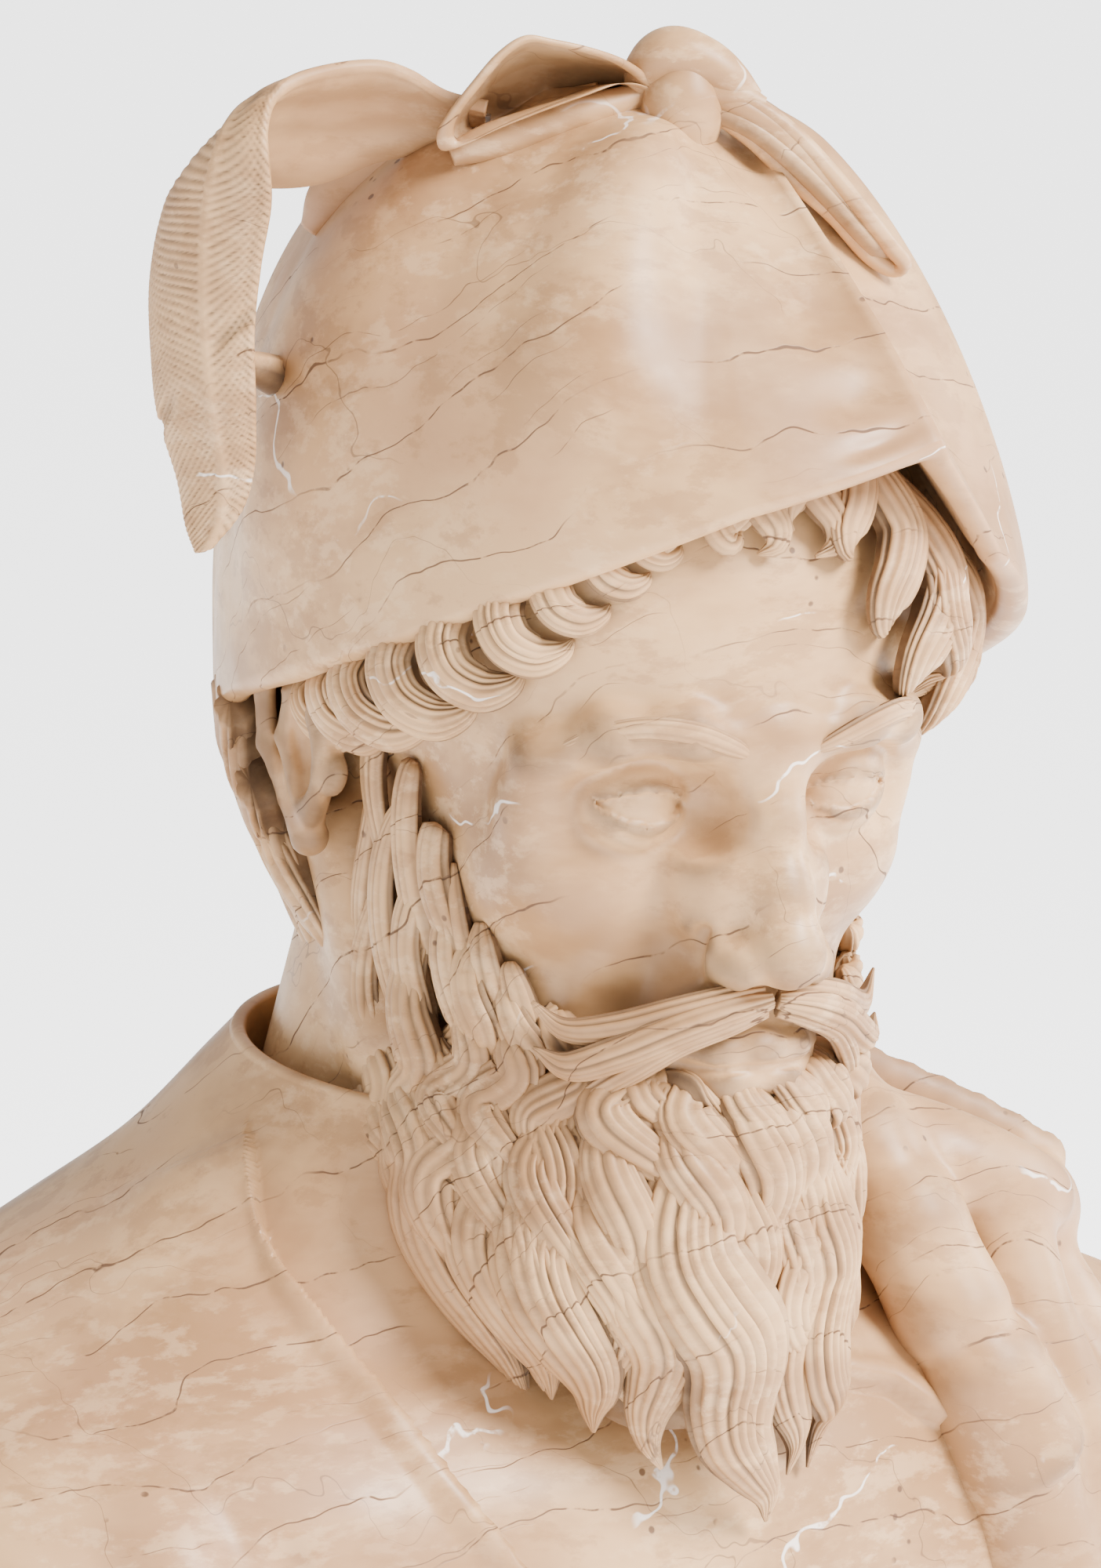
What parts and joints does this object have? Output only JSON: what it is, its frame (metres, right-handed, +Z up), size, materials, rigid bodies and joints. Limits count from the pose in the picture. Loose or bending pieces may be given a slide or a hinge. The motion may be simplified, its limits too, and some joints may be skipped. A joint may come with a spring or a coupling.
{
  "type": "marble portrait bust",
  "caption": "Carved marble bust of a bearded figure in a soft feathered cap, gown and cloak, on a turned socle and square plinth.",
  "frame": {"origin": "centre of the felt disc's underside, where the bust stands", "axes": "+Z up along the socle, -Y out of the chest, +X towards the figure's left"},
  "size_m": [0.4696, 0.3159, 0.7907],
  "materials": {
    "marble": "polished cream and tan marble with brown and white veins",
    "steel": "plain stainless",
    "brass": "turned",
    "felt": "dark green felt"
  },
  "bodies": {
    "root": {"felt_disc": "felt", "plinth": "marble", "socle": "marble", "socle_rod": "steel", "rod_washer": "steel", "rod_nut": "steel", "rod_anchor": "brass", "chest": "marble", "cloak": "marble", "cloak_pin_upper": "steel", "cloak_pin_lower": "steel", "head": "marble", "neck_pin_right": "steel", "neck_pin_left": "steel", "cap": "marble", "cap_pin": "steel", "bow": "marble", "bow_pin": "steel", "feather": "marble", "feather_pin": "steel"}
  },
  "joints": []
}
